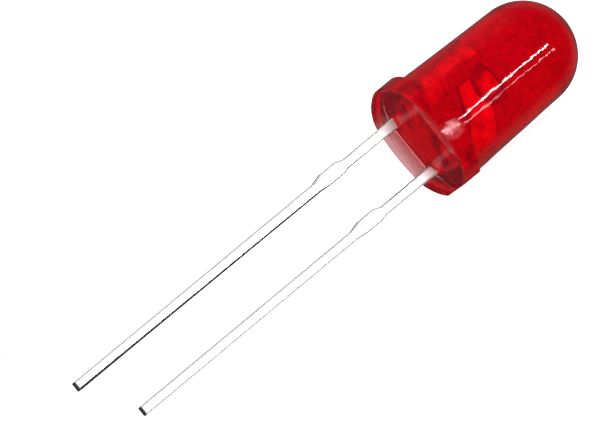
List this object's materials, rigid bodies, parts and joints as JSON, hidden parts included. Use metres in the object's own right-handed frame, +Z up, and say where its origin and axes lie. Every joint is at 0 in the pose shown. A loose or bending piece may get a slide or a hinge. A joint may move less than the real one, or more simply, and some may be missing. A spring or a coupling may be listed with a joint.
{
  "type": "through hole LED",
  "caption": "Round through hole light emitting diode with a clear red epoxy lens, a flange with a polarity flat, and straight square leads of unequal length.",
  "frame": {"origin": "optical axis in the seating plane, the underside of the flange", "axes": "+X along the optical axis towards the dome, -X along the leads, +Z up from the flange flat towards the long anode lead, +Y across the lead row"},
  "size_m": [0.0274, 0.0056, 0.0054],
  "materials": {
    "red_epoxy": "gloss",
    "tinned_lead_frame": "satin",
    "chip_crystal": "satin",
    "silver_epoxy": "satin",
    "gold_wire": "polished"
  },
  "bodies": {
    "root": {"lens": "red_epoxy", "cathode_frame": "tinned_lead_frame", "anode_frame": "tinned_lead_frame", "led_chip": "chip_crystal", "die_attach": "silver_epoxy", "bond_wire": "gold_wire"}
  },
  "joints": []
}
